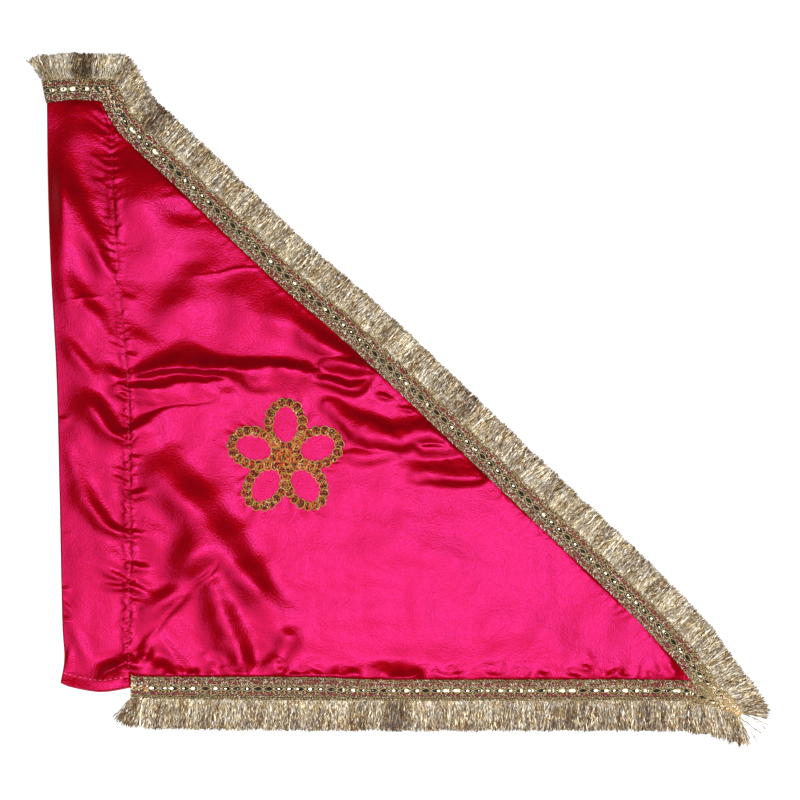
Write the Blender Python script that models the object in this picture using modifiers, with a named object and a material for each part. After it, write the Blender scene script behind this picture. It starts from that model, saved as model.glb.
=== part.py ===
# Temple flag lying face up: a satin triangle with a pole sleeve down its left side,
# three lengths of gold fringed trim and a flower of chain braid.
# X runs across the flag, Y up it and Z off the surface it lies on.
# Sizes are in millimetres here and are turned to metres as each object is made.

from collections import namedtuple
import math
import random

import bmesh
import bpy
import numpy as np
from mathutils import Vector
from mathutils.geometry import delaunay_2d_cdt

METRES = 0.001
SEED = 7
SMOOTH_BELOW = 40
MERGE_WITHIN = 1e-4

# Thicknesses and clearances
GAP = 0.3
CLOTH = 1.2
WALL = 1.0
SIDE_GAP = 0.6

# Trim: woven heading, its beaded middle line and its fringe of locks
HEADING_WIDTH = 16.0
HEADING_THICKNESS = 1.0
HEM_UNDER_TRIM = 14.0
BEAD_PITCH = 7.6
BEAD_LINE = 0.51
BEAD_HEIGHT = 0.3
LOCK_PITCH = 4.3
LOCK_WIDTH = 3.2
LOCK_TIP_WIDTH = 2.9
LOCK_THICKNESS = 0.9
LOCK_DROP = 4.5
LENGTH_SPREAD = 0.07
LEAN_SWAY = 1.2
SWAY_TURN = 1.3

# Sleeve: room for the pole and where it opens and closes
SLEEVE_LIFT = 5.4
SLEEVE_TOP = 218.0
LIFT_START = 204.5
LIFT_FULL = 184.0
POCKET_END = 200.0
CLOSED_TOP_SECTIONS = (218.0, 212.5, 207.0, 204.5, 200.0, 192.0, 184.0)
SLEEVE_STEP = 14.0

# Panel mesh: fine where the cloth rises, coarse where it lies flat
FINE_STEP = 8.5
GRID_CORNER = (-206.0, -212.0)
GRID_SIZE = (460.0, 440.0)
RIDGE_NOTICED = 0.15
CLEAR_OF_EDGE = 0.5 * FINE_STEP
CLEAR_OF_POINTS = 0.6 * FINE_STEP
FLAT_MARGIN = 1.5
FADE_START = 1.7
FADE_END = 9.0
EDGE_STEP = 9.0

# Flower of chain braid
FLOWER_CENTRE = (-81.0, -42.5)
FLOWER_FLAT = 49.0
PETALS = 5
PETAL_REACH = 43.0
PETAL_LENGTH = 39.0
PETAL_WIDTH = 31.2
BRAID_WIDTH = 7.7
BRAID_THICKNESS = 1.4

# Outlines, each from the top of the flag down or from left to right
FOLDED_SIDE = ((-248.6, 222), (-248.2, 206), (-247.5, 150), (-245.3, 86), (-241.5, 15),
               (-239.3, -70), (-237.5, -155), (-236.0, -182), (-238.7, -200))
SEAM = ((-205.0, 222), (-206.4, 216), (-208.1, 212.5), (-210.9, 207), (-208.6, 201.5),
        (-204.9, 193.5), (-202.8, 184), (-201.6, 145), (-199.5, 100), (-194.5, 42),
        (-191.3, 5), (-190.2, -60), (-190.1, -115), (-190.8, -170), (-190.1, -206))
SLEEVE_MOUTH = ((-238.7, -200), (-231.0, -203), (-212.0, -206.4), (-199.0, -205.1),
                (-190.1, -203.3))
TOP_EDGE = ((-248.5, 205.9), (-228.6, 208.1), (-211.0, 207.4))
TOP_ROOTS = ((-251.7, 222.3), (-228.0, 223.4), (-201.8, 223.4))
SLANT_EDGE = ((-210.0, 206.8), (-200.6, 189.4), (-187.3, 175.0), (-159.3, 149.0),
              (-89.5, 82.4), (-31.4, 31.5), (80.2, -74.8), (136.3, -127.8),
              (163.8, -154.8), (190.2, -182.9), (202.6, -198.4))
SLANT_TIP = ((211.1, -185.2), (219.5, -196.4), (227.9, -206.2), (234.9, -214.6),
             (239.4, -221.4))
BOTTOM_EDGE = ((-189.4, -193.2), (-176.1, -195.0), (-64.1, -195.4), (-6.7, -197.2),
               (181.0, -197.3), (201.9, -199.3))
BOTTOM_ROOTS = ((-189.4, -209.7), (-158.6, -211.4), (-6.7, -212.5), (181.0, -212.5),
                (202.0, -213.9), (219.5, -217.0), (236.4, -223.6))
CORNER_MITRE = (-201.3, 223.0)
POINTS_IN_MITRE = 2
CLEAR_OF_TIP = 3.0
SLANT_MITRE_END = (237.7, -220.6)
BOTTOM_MITRE_END = (235.8, -221.8)
PANEL_TIP = (228.0, -211.0)

# Ridges in the satin: crest through three points, its height, and how far the cloth
# falls away on the side towards the top of the flag and on the other side
Fold = namedtuple("Fold", "start middle end height above below")
PANEL_FOLDS = (
    Fold(start=(-196, 138), middle=(-180, 142), end=(-158, 150), height=4.0, above=26, below=20),
    Fold(start=(-178, 113), middle=(-160, 114), end=(-140, 108), height=2.2, above=10, below=14),
    Fold(start=(-172, 52), middle=(-152, 60), end=(-131, 79), height=4.2, above=20, below=16),
    Fold(start=(-132, 58), middle=(-117, 62), end=(-101, 76), height=2.6, above=13, below=14),
    Fold(start=(-104, 50), middle=(-80, 60), end=(-40, 32), height=4.0, above=15, below=18),
    Fold(start=(-186, 17), middle=(-146, 21), end=(-66, 19), height=5.2, above=17, below=6),
    Fold(start=(-190, 8), middle=(-155, 9), end=(-117, 14), height=3.0, above=8, below=20),
    Fold(start=(-190, -23), middle=(-165, -10), end=(-128, -3), height=2.6, above=8, below=18),
    Fold(start=(-62, 14), middle=(-42, 6), end=(-22, 14), height=2.8, above=9, below=12),
    Fold(start=(-58, -10), middle=(-22, -27), end=(26, -27), height=5.0, above=15, below=12),
    Fold(start=(8, -54), middle=(32, -53), end=(62, -58), height=3.6, above=12, below=7),
    Fold(start=(12, -69), middle=(36, -69), end=(62, -65), height=2.4, above=9, below=22),
    Fold(start=(-184, -58), middle=(-128, -110), end=(-92, -150), height=5.2, above=21, below=12),
    Fold(start=(-187, -179), middle=(-150, -138), end=(-125, -115), height=3.6, above=15, below=10),
    Fold(start=(-118, -130), middle=(-114, -160), end=(-108, -190), height=3.0, above=12, below=9),
    Fold(start=(-100, -184), middle=(-88, -172), end=(-74, -171), height=3.2, above=10, below=9),
)
SLEEVE_FOLDS = (
    Fold(start=(-232, 196), middle=(-217, 168), end=(-206, 146), height=1.7, above=9, below=9),
    Fold(start=(-226, 128), middle=(-214, 96), end=(-202, 70), height=1.7, above=8, below=8),
    Fold(start=(-238, 66), middle=(-221, 44), end=(-204, 24), height=1.6, above=8, below=8),
    Fold(start=(-236, 20), middle=(-216, -8), end=(-202, -34), height=1.6, above=9, below=8),
    Fold(start=(-228, -40), middle=(-215, -72), end=(-198, -100), height=1.6, above=9, below=8),
    Fold(start=(-230, -128), middle=(-214, -148), end=(-200, -160), height=1.3, above=8, below=9),
)
CREST_ROUNDING = 1.2
FLANK_POWER = 1.6
END_TAPER = 0.28

# Sleeve section: how far across its wall's outer and inner face each point lies
Wall = namedtuple("Wall", "outer inner face")
SLEEVE_SECTION = (
    Wall(0.03, 0.05, "under"), Wall(0.5, 0.5, "under"), Wall(0.985, 0.92, "under"),
    Wall(1.0, 0.94, "seam"),
    Wall(0.985, 0.93, "over"), Wall(0.93, 0.905, "over"), Wall(0.87, 0.86, "over"),
    Wall(0.79, 0.79, "over"), Wall(0.67, 0.67, "over"), Wall(0.55, 0.55, "over"),
    Wall(0.43, 0.43, "over"), Wall(0.31, 0.31, "over"), Wall(0.20, 0.20, "over"),
    Wall(0.06, 0.11, "over"), Wall(0.0, 0.045, "over"),
    Wall(0.0, 0.033, "fold"),
)

# Shares of its width between which the sleeve's top layer rises from either side, and
# between which its ridges fade in
SEAM_RISE = (0.975, 0.80)
FOLD_RISE = (-0.12, 0.05)
SEAM_FADE = (0.97, 0.75)
FOLD_FADE = (0.05, 0.3)

# Heights of the section's end points on its outer and inner face, in wall thicknesses
SEAM_END = (1.0, 1.35)
FOLD_END = (1.3, 1.6)

# Which way the fringe points, in degrees from +X, at each place along its trim
Lean = namedtuple("Lean", "where angle")
TOP_LEAN = (Lean(0, 112), Lean(0.25, 97), Lean(0.6, 88), Lean(1, 64))
SLANT_LEAN = (Lean(0, 57), Lean(0.05, 47), Lean(0.9, 44), Lean(0.95, 32), Lean(1, -2))
BOTTOM_LEAN = (Lean(0, -120), Lean(0.04, -96), Lean(0.5, -92), Lean(0.9, -89), Lean(1, -77))
TOP_FRINGE = 18.0
SLANT_FRINGE = 18.0
BOTTOM_FRINGE = 20.3

# Colours as red, green and blue in linear light
SATIN_PINK = (0.86, 0.02, 0.19)
TRIM_GOLD = (0.45, 0.37, 0.22)
BRAID_GOLD = (0.42, 0.17, 0.05)


def smooth_step(low, high, value):
    t = min(max((value - low) / (high - low), 0.0), 1.0)
    return t * t * (3.0 - 2.0 * t)


def curve_through(points, steps=12):
    # Catmull-Rom curve through every point, its ends carried straight on.
    p = [Vector(q) for q in points]
    p = [2 * p[0] - p[1]] + p + [2 * p[-1] - p[-2]]
    curve = []
    for a, b, c, d in zip(p, p[1:], p[2:], p[3:]):
        for k in range(steps):
            t = k / steps
            curve.append(0.5 * (2 * b + (c - a) * t + (2 * a - 5 * b + 4 * c - d) * t ** 2
                                + (3 * b - a - 3 * c + d) * t ** 3))
    return curve + [p[-2]]


def distances_along(path):
    total = [0.0]
    for a, b in zip(path, path[1:]):
        total.append(total[-1] + (b - a).length)
    return total


def point_at(path, fraction):
    # The point that lies a fraction of the path's length along it.
    total = distances_along(path)
    wanted = fraction * total[-1]
    for k in range(1, len(path)):
        if total[k] >= wanted or k == len(path) - 1:
            part = (wanted - total[k - 1]) / (total[k] - total[k - 1])
            return path[k - 1].lerp(path[k], min(part, 1.0))


def even_points(path, step):
    count = max(1, round(distances_along(path)[-1] / step))
    return [point_at(path, k / count) for k in range(count + 1)]


def across_at(path, height):
    # Where a path that runs down the flag crosses a height: its X there.
    for a, b in zip(path, path[1:]):
        if b.y <= height <= a.y:
            return a.lerp(b, (a.y - height) / (a.y - b.y)).x
    return path[0].x if height > path[0].y else path[-1].x


def height_at(path, across):
    # Where a path that runs to the right crosses an X: its Y there.
    for a, b in zip(path, path[1:]):
        if a.x <= across <= b.x:
            return a.lerp(b, (across - a.x) / (b.x - a.x)).y
    return path[0].y if across < path[0].x else path[-1].y


def moved_out(path, distance):
    # The path moved sideways, to the left of the way it runs.
    moved = []
    for k, point in enumerate(path):
        run = path[min(k + 1, len(path) - 1)] - path[max(k - 1, 0)]
        moved.append(point + Vector((-run.y, run.x)).normalized() * distance)
    return moved


def nearest_on(path, point):
    # Distance to the path, the side it is on and the fraction along it.
    best = None
    for k, (a, b) in enumerate(zip(path, path[1:])):
        run = b - a
        t = min(max((point - a).dot(run) / run.length_squared, 0.0), 1.0)
        away = point - a.lerp(b, t)
        if best is None or away.length < best[0]:
            best = (away.length, run.x * away.y - run.y * away.x, (k + t) / (len(path) - 1))
    return best


def relief(folds, point):
    # How far the ridges lift the cloth at a point.
    height = 0.0
    for fold, crest in folds:
        away, side, along = nearest_on(crest, point)
        reach = fold.above if side > 0 else fold.below
        rounded = math.hypot(away, CREST_ROUNDING) - CREST_ROUNDING
        flank = max(0.0, 1.0 - rounded / reach) ** FLANK_POWER
        ends = smooth_step(0, END_TAPER, along) * smooth_step(0, END_TAPER, 1 - along)
        height = max(height, fold.height * flank * ends)
    return height


def with_crests(folds):
    # Every crest here runs to the right, so its left side faces the flag's top.
    return [(fold, curve_through((fold.start, fold.middle, fold.end), steps=5)) for fold in folds]


def add_object(name, mesh, material, collection):
    obj = bpy.data.objects.new(name, mesh)
    obj.data.materials.append(material)
    collection.objects.link(obj)
    return obj


def finished(bm, name, smooth):
    # Turns millimetres to metres and makes the mesh.
    bmesh.ops.recalc_face_normals(bm, faces=bm.faces)
    bmesh.ops.scale(bm, vec=(METRES, METRES, METRES), verts=bm.verts)
    mesh = bpy.data.meshes.new(name)
    bm.to_mesh(mesh)
    bm.free()
    if smooth:
        mesh.shade_smooth()
        mesh.set_sharp_from_angle(angle=math.radians(SMOOTH_BELOW))
    return mesh


def bridge(bm, ring_a, ring_b):
    # Faces between two closed rings with equal counts of points.
    for k in range(len(ring_a)):
        n = (k + 1) % len(ring_a)
        bm.faces.new((ring_a[k], ring_a[n], ring_b[n], ring_b[k]))


def principled(name, colour, roughness, metallic):
    material = bpy.data.materials.new(name)
    material.use_nodes = True
    shader = material.node_tree.nodes["Principled BSDF"]
    shader.inputs["Base Color"].default_value = (*colour, 1.0)
    shader.inputs["Roughness"].default_value = roughness
    shader.inputs["Metallic"].default_value = metallic
    return material


def sleeve_place(across, down):
    # Plan position from shares of the sleeve's width and of its length.
    guess = FOLDED_SIDE[-1][0] + across * (SEAM[-1][0] - FOLDED_SIDE[-1][0])
    mouth = height_at(curve_through(SLEEVE_MOUTH), guess)
    y = SLEEVE_TOP + down * (mouth - SLEEVE_TOP)
    left = across_at(curve_through(FOLDED_SIDE), y)
    return Vector((left + across * (across_at(curve_through(SEAM), y) - left), y))


def sleeve_shares():
    # Shares of the length at which the sleeve has a section, close together at its top.
    length = SLEEVE_TOP - SLEEVE_MOUTH[0][1]
    shares = [(SLEEVE_TOP - y) / length for y in CLOSED_TOP_SECTIONS]
    count = round((1 - shares[-1]) * length / SLEEVE_STEP)
    return shares + [shares[-1] + (1 - shares[-1]) * k / count for k in range(1, count + 1)]


def panel_outline():
    seam = [sleeve_place(1.0, share) + Vector((SIDE_GAP, 0)) for share in sleeve_shares()]
    slant = moved_out(curve_through(SLANT_EDGE, steps=6), HEM_UNDER_TRIM)
    bottom = moved_out(curve_through(BOTTOM_EDGE, steps=6), -HEM_UNDER_TRIM)
    bottom = [p for p in bottom if p.x > seam[-1].x]
    return (list(reversed(seam)) + even_points(slant, EDGE_STEP)
            + [Vector(PANEL_TIP)] + list(reversed(even_points(bottom, EDGE_STEP))))


def satin_panel(material, collection):
    outline = panel_outline()
    closed = outline + [outline[0]]
    seam = curve_through(SEAM, steps=6)
    slant = curve_through(SLANT_EDGE, steps=6)
    bottom = curve_through(BOTTOM_EDGE, steps=6)
    folds = with_crests(PANEL_FOLDS)
    centre = Vector(FLOWER_CENTRE)

    def lift(point):
        if nearest_on(slant, point)[1] > 0 or nearest_on(bottom, point)[1] < 0:
            return 0.0
        edge = min(nearest_on(path, point)[0] for path in (seam, slant, bottom))
        clear = min(edge, (point - centre).length - FLOWER_FLAT)
        return relief(folds, point) * smooth_step(FADE_START, FADE_END, clear)

    # The cloth stays flat up to a line of points just inside each heading.
    points = list(outline)
    flat_edges = []
    for path, inward in ((slant, -FLAT_MARGIN), (bottom, FLAT_MARGIN)):
        line = even_points(moved_out(path, inward), FINE_STEP)[1:-1]
        first = len(points)
        flat_edges += [(first + k, first + k + 1) for k in range(len(line) - 1)]
        points += line
    fixed = list(points)

    # Points on a triangular grid: all of them near a ridge, one in four elsewhere.
    row_height = FINE_STEP * math.sqrt(3) / 2
    rows = int(GRID_SIZE[1] / row_height)
    columns = int(GRID_SIZE[0] / FINE_STEP)
    for row in range(rows):
        for column in range(columns):
            point = Vector((GRID_CORNER[0] + (column + 0.5 * (row % 2)) * FINE_STEP,
                            GRID_CORNER[1] + row * row_height))
            coarse = row % 2 == 0 and (column + row // 2) % 2 == 0
            near_ridge = relief(folds, point) > RIDGE_NOTICED
            if not (coarse or near_ridge):
                continue
            inside = sum((a.y > point.y) != (b.y > point.y)
                         and point.x < a.x + (b.x - a.x) * (point.y - a.y) / (b.y - a.y)
                         for a, b in zip(closed, closed[1:])) % 2
            if inside and (nearest_on(closed, point)[0] > CLEAR_OF_EDGE
                           and min((point - q).length for q in fixed) > CLEAR_OF_POINTS):
                points.append(point)
    border = [list(range(len(outline)))]
    made = delaunay_2d_cdt(points, flat_edges, border, 1, MERGE_WITHIN)
    bm = bmesh.new()
    verts = [bm.verts.new((p.x, p.y, lift(p))) for p in made[0]]
    for face in made[2]:
        bm.faces.new([verts[k] for k in face])
    mesh = finished(bm, "satin_panel", False)
    if mesh.polygons[0].normal.z < 0:
        mesh.flip_normals()
    obj = add_object("satin_panel", mesh, material, collection)
    solid = obj.modifiers.new("Cloth thickness", "SOLIDIFY")
    solid.thickness = CLOTH * METRES
    solid.offset = 1.0
    mesh.shade_smooth()
    mesh.set_sharp_from_angle(angle=math.radians(SMOOTH_BELOW))


def pole_sleeve(material, collection):
    folds = with_crests(SLEEVE_FOLDS)

    def top_height(across, point):
        rise = smooth_step(*SEAM_RISE, across) * smooth_step(*FOLD_RISE, across)
        opened = smooth_step(LIFT_START, LIFT_FULL, point.y)
        faded = smooth_step(*FOLD_FADE, across) * smooth_step(*SEAM_FADE, across)
        ridges = relief(folds, point) * faded
        return 2 * WALL + (rise * SLEEVE_LIFT + ridges) * opened

    def ring(bm, down, is_outer):
        verts = []
        for wall in SLEEVE_SECTION:
            across = wall.outer if is_outer else wall.inner
            point = sleeve_place(across, down)
            top = top_height(across, point)
            if wall.face == "under":
                z = 0.0 if is_outer else WALL
            elif wall.face == "over":
                z = top if is_outer else top - WALL
            else:
                end = SEAM_END if wall.face == "seam" else FOLD_END
                z = WALL * (end[0] if is_outer else end[1])
            verts.append(bm.verts.new((point.x, point.y, z)))
        return verts

    shares = sleeve_shares()
    length = SLEEVE_TOP - SLEEVE_MOUTH[0][1]
    pocket = (SLEEVE_TOP - POCKET_END) / length
    bm = bmesh.new()
    outer = [ring(bm, down, True) for down in shares]
    inner = [ring(bm, down, False) for down in shares if down >= pocket]
    for rings in (outer, inner):
        for a, b in zip(rings, rings[1:]):
            bridge(bm, a, b)
    bridge(bm, outer[-1], inner[-1])
    bm.faces.new(outer[0])
    bm.faces.new(inner[0])
    add_object("pole_sleeve", finished(bm, "pole_sleeve", True), material, collection)


def lean_at(leans, fraction):
    return float(np.interp(fraction, [row.where for row in leans], [row.angle for row in leans]))


def add_lock(bm, root, direction, length):
    # One lock: from its root on the heading down to the surface, then level to its tip.
    side = Vector((-direction.y, direction.x, 0))
    centre = sum((v.co for v in root), Vector()) / 4
    low_a, low_b = root[0].co, root[1].co
    if (low_b - low_a).dot(side) < 0:
        side = -side
    half = 0.5 * LOCK_WIDTH * side
    bend = centre + direction * LOCK_DROP
    corners = ((-half, 0.0), (half, 0.0), (half, LOCK_THICKNESS), (-half, LOCK_THICKNESS))
    ring = [bm.verts.new((*(bend + sideways).xy, z)) for sideways, z in corners]
    bridge(bm, root, ring)
    tip = centre + direction * length
    half_tip = 0.5 * LOCK_TIP_WIDTH * side
    a = bm.verts.new((*(tip - half_tip).xy, 0.0))
    b = bm.verts.new((*(tip + half_tip).xy, 0.0))
    bm.faces.new((ring[0], ring[1], b, a))
    bm.faces.new((ring[2], ring[3], a, b))
    bm.faces.new((ring[3], ring[0], a))
    bm.faces.new((ring[1], ring[2], b))


def fringed_trim(name, edge, roots, base, leans, fringe, material, collection):
    # A strip of heading between its inner edge and the line of its roots, with locks.
    chance = random.Random(SEED + len(name))
    run = distances_along(roots)[-1]
    locks = int(run / LOCK_PITCH)
    half_share = 0.5 * LOCK_WIDTH / run
    middles = [(k + 0.5) / locks for k in range(locks)]
    stations = [0.0]
    for middle in middles:
        stations += [middle - half_share, middle + half_share]
    stations.append(1.0)
    bm = bmesh.new()
    sections = []
    for share in stations:
        inner = point_at(edge, share)
        outer = point_at(roots, share)
        middle = inner.lerp(outer, 0.5)
        bead = BEAD_LINE + BEAD_HEIGHT * math.cos(2 * math.pi * share * run / BEAD_PITCH)
        if share in (0.0, 1.0):
            bead = 0.0
        top = base + HEADING_THICKNESS
        sections.append([bm.verts.new((*point, z)) for point, z in
                         ((inner, base), (inner, top), (middle, top + bead),
                          (outer, top), (outer, base))])
    bm.faces.new(sections[0])
    bm.faces.new(sections[-1])
    for k, (a, b) in enumerate(zip(sections, sections[1:])):
        for side in range(5):
            after = (side + 1) % 5
            is_root = side == 3 and k % 2 == 1
            if is_root:
                continue
            bm.faces.new((a[side], a[after], b[after], b[side]))
    for k, middle in enumerate(middles):
        a, b = sections[2 * k + 1], sections[2 * k + 2]
        angle = math.radians(lean_at(leans, middle) + LEAN_SWAY * math.sin(SWAY_TURN * k))
        direction = Vector((math.cos(angle), math.sin(angle), 0))
        length = fringe * (1 + LENGTH_SPREAD * chance.uniform(-1, 1))
        add_lock(bm, (a[4], b[4], b[3], a[3]), direction, length)
    add_object(name, finished(bm, name, False), material, collection)


def trims(material, collection):
    on_cloth = CLOTH + GAP
    on_sleeve = 2 * WALL + GAP
    top_edge = curve_through(TOP_EDGE)
    top_roots = curve_through(TOP_ROOTS)
    fringed_trim("top_trim", top_edge, top_roots, on_sleeve, TOP_LEAN, TOP_FRINGE,
                 material, collection)
    slant = curve_through(SLANT_EDGE)
    tip_line = curve_through(SLANT_TIP)
    outside = [p for p in moved_out(slant, HEADING_WIDTH)[POINTS_IN_MITRE:]
               if p.x < SLANT_TIP[0][0] - CLEAR_OF_TIP]
    roots = [Vector(CORNER_MITRE)] + outside + tip_line
    edge = slant + [Vector(SLANT_MITRE_END)]
    fringed_trim("slant_trim", edge, roots, on_cloth, SLANT_LEAN, SLANT_FRINGE,
                 material, collection)
    bottom_edge = curve_through(BOTTOM_EDGE) + [Vector(BOTTOM_MITRE_END)]
    fringed_trim("bottom_trim", bottom_edge, curve_through(BOTTOM_ROOTS), on_cloth,
                 BOTTOM_LEAN, BOTTOM_FRINGE, material, collection)


def petal_radius(angle):
    # Distance from the flower's centre to the outside of a petal, off its own axis.
    half_length, half_width = 0.5 * PETAL_LENGTH, 0.5 * PETAL_WIDTH
    centre = PETAL_REACH - half_length
    c, s = math.cos(angle), math.sin(angle)
    a = (c / half_length) ** 2 + (s / half_width) ** 2
    b = -2 * centre * c / half_length ** 2
    d = (centre / half_length) ** 2 - 1
    return (-b + math.sqrt(max(b * b - 4 * a * d, 0.0))) / (2 * a)


def braid_flower(material, collection):
    # Five loops of braid that meet at a round centre, as one flat outline with holes.
    steps = 10
    hole_points = 14
    outer = []
    holes = []
    for k in range(PETALS):
        axis = math.pi / 2 + k * 2 * math.pi / PETALS
        half_turn = math.pi / PETALS
        for n in range(steps):
            off = half_turn * (2 * n / steps - 1)
            r = petal_radius(off)
            outer.append((r * math.cos(axis + off), r * math.sin(axis + off)))
        hole = []
        for n in range(hole_points):
            turn = 2 * math.pi * n / hole_points
            along = (PETAL_REACH - 0.5 * PETAL_LENGTH
                     + (0.5 * PETAL_LENGTH - BRAID_WIDTH) * math.cos(turn))
            wide = (0.5 * PETAL_WIDTH - BRAID_WIDTH) * math.sin(turn)
            hole.append((along * math.cos(axis) - wide * math.sin(axis),
                         along * math.sin(axis) + wide * math.cos(axis)))
        holes.append(hole)
    curve = bpy.data.curves.new("braid_flower", "CURVE")
    curve.dimensions = "2D"
    curve.fill_mode = "BOTH"
    curve.extrude = 0.5 * BRAID_THICKNESS * METRES
    for loop in [outer] + holes:
        spline = curve.splines.new("POLY")
        spline.points.add(len(loop) - 1)
        spline.use_cyclic_u = True
        for point, (x, y) in zip(spline.points, loop):
            point.co = (x * METRES, y * METRES, 0, 1)
    obj = add_object("braid_flower", curve, material, collection)
    height = CLOTH + GAP + 0.5 * BRAID_THICKNESS
    obj.location = (FLOWER_CENTRE[0] * METRES, FLOWER_CENTRE[1] * METRES, height * METRES)


def main():
    for obj in list(bpy.data.objects):
        bpy.data.objects.remove(obj, do_unlink=True)
    flag = bpy.data.collections.new("temple flag")
    bpy.context.scene.collection.children.link(flag)
    satin = principled("pink satin", SATIN_PINK, roughness=0.35, metallic=0.2)
    gold = principled("gold fringe", TRIM_GOLD, roughness=0.42, metallic=0.6)
    braid = principled("gold chain braid", BRAID_GOLD, roughness=0.45, metallic=0.6)
    satin_panel(satin, flag)
    pole_sleeve(satin, flag)
    trims(gold, flag)
    braid_flower(braid, flag)


main()
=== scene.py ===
import math

import bpy
import numpy as np
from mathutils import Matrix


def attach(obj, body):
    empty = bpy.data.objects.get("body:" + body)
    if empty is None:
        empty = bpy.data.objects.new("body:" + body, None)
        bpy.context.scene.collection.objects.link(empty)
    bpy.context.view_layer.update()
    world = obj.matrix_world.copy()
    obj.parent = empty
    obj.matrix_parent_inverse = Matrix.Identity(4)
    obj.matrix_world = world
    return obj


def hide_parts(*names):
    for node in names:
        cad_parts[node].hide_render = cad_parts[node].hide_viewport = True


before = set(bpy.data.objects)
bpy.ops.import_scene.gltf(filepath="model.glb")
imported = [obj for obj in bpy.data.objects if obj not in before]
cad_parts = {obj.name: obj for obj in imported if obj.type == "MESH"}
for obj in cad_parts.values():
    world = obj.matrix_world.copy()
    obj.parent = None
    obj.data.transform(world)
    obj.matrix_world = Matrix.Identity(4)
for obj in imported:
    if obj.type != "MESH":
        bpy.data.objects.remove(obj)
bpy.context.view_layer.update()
print("stage: frame loaded")

# Lengths in this script are in millimetres on the flag's own axes until a mesh is made.
millimetre = 0.001


# Curves and fields
def curveThrough(points, steps=12):
    # Catmull-Rom curve through every row, whatever its number of columns.
    p = np.array(points, float)
    p = np.vstack([2 * p[0] - p[1], p, 2 * p[-1] - p[-2]])
    a, b, c, d = p[:-3], p[1:-2], p[2:-1], p[3:]
    t = (np.arange(steps) / steps)[:, None, None]
    curve = 0.5 * (2 * b + (c - a) * t + (2 * a - 5 * b + 4 * c - d) * t ** 2
                   + (3 * b - a - 3 * c + d) * t ** 3)
    return np.vstack([curve.transpose(1, 0, 2).reshape(-1, p.shape[1]), p[-2:-1]])


def lengthsAlong(path):
    return np.concatenate([[0.0], np.cumsum(np.hypot(*np.diff(path[:, :2], axis=0).T))])


def placeAt(path, share):
    # Points at shares of a path's length.
    at = lengthsAlong(path)
    return np.stack([np.interp(share * at[-1], at, path[:, k]) for k in (0, 1)], axis=-1)


def wayAt(path, share, step=0.004):
    # A path's direction at shares of its length, as an angle, taken between a step to either side.
    ahead = placeAt(path, share + step) - placeAt(path, share - step)
    return np.arctan2(ahead[:, 1], ahead[:, 0])


def pointing(turn):
    # A step of one unit in each direction that is given as an angle.
    return np.column_stack([np.cos(turn), np.sin(turn)])


def raised(place, height):
    # Points in space from places on the flag, with one height for all of them or one for each.
    return np.column_stack([place, np.broadcast_to(height, len(place))])


def movedOut(path, distance):
    # A path moved to the left of its own direction.
    way = np.gradient(path, axis=0)
    way /= np.hypot(way[:, 0], way[:, 1])[:, None]
    return path + distance * np.stack([-way[:, 1], way[:, 0]], axis=-1)


def acrossAt(path, y):
    # Where a path that runs down the flag is at a height on it.
    order = np.argsort(path[:, 1])
    return np.interp(y, path[order, 1], path[order, 0])


def smoothStep(low, high, value):
    t = np.clip((value - low) / (high - low), 0.0, 1.0)
    return t * t * (3.0 - 2.0 * t)


def insideOf(path, x, y):
    # Signed distance from a path, positive to the left of its direction.
    best = np.full(x.shape, 1e9)
    signed = np.zeros(x.shape)
    for (ax, ay), (bx, by) in zip(path[:-1], path[1:]):
        dx, dy = bx - ax, by - ay
        t = np.clip(((x - ax) * dx + (y - ay) * dy) / (dx * dx + dy * dy), 0.0, 1.0)
        gap = np.hypot(x - ax - t * dx, y - ay - t * dy)
        side = np.where(dx * (y - ay) - dy * (x - ax) >= 0, 1.0, -1.0)
        closer = gap < best
        best = np.where(closer, gap, best)
        signed = np.where(closer, side * gap, signed)
    return signed


def rolling(x, y, wavelength, seed, waves=14):
    # A smooth random field between about -1 and 1, from waves in many directions.
    pick = np.random.default_rng(seed)
    total = np.zeros(np.shape(x))
    for turn, phase, stretch in zip(pick.uniform(0, math.pi, waves),
                                    pick.uniform(0, 2 * math.pi, waves),
                                    pick.uniform(0.7, 1.5, waves)):
        k = 2 * math.pi / (wavelength * stretch)
        total = total + np.sin(k * (x * math.cos(turn) + y * math.sin(turn)) + phase)
    return total / math.sqrt(waves) / 1.4


def flank(t, crestShare, baseShare=0.5):
    # Height share at t of the way from a crest to its foot: a straight slope, rounded at both.
    area = 1.0 - 0.5 * crestShare - 0.5 * baseShare
    run = np.where(t < crestShare, t * t / (2 * crestShare), t - 0.5 * crestShare)
    run = np.where(t > 1 - baseShare, area - (1 - t) ** 2 / (2 * baseShare), run)
    return np.where(t >= 1, 0.0, 1.0 - run / area)


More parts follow.
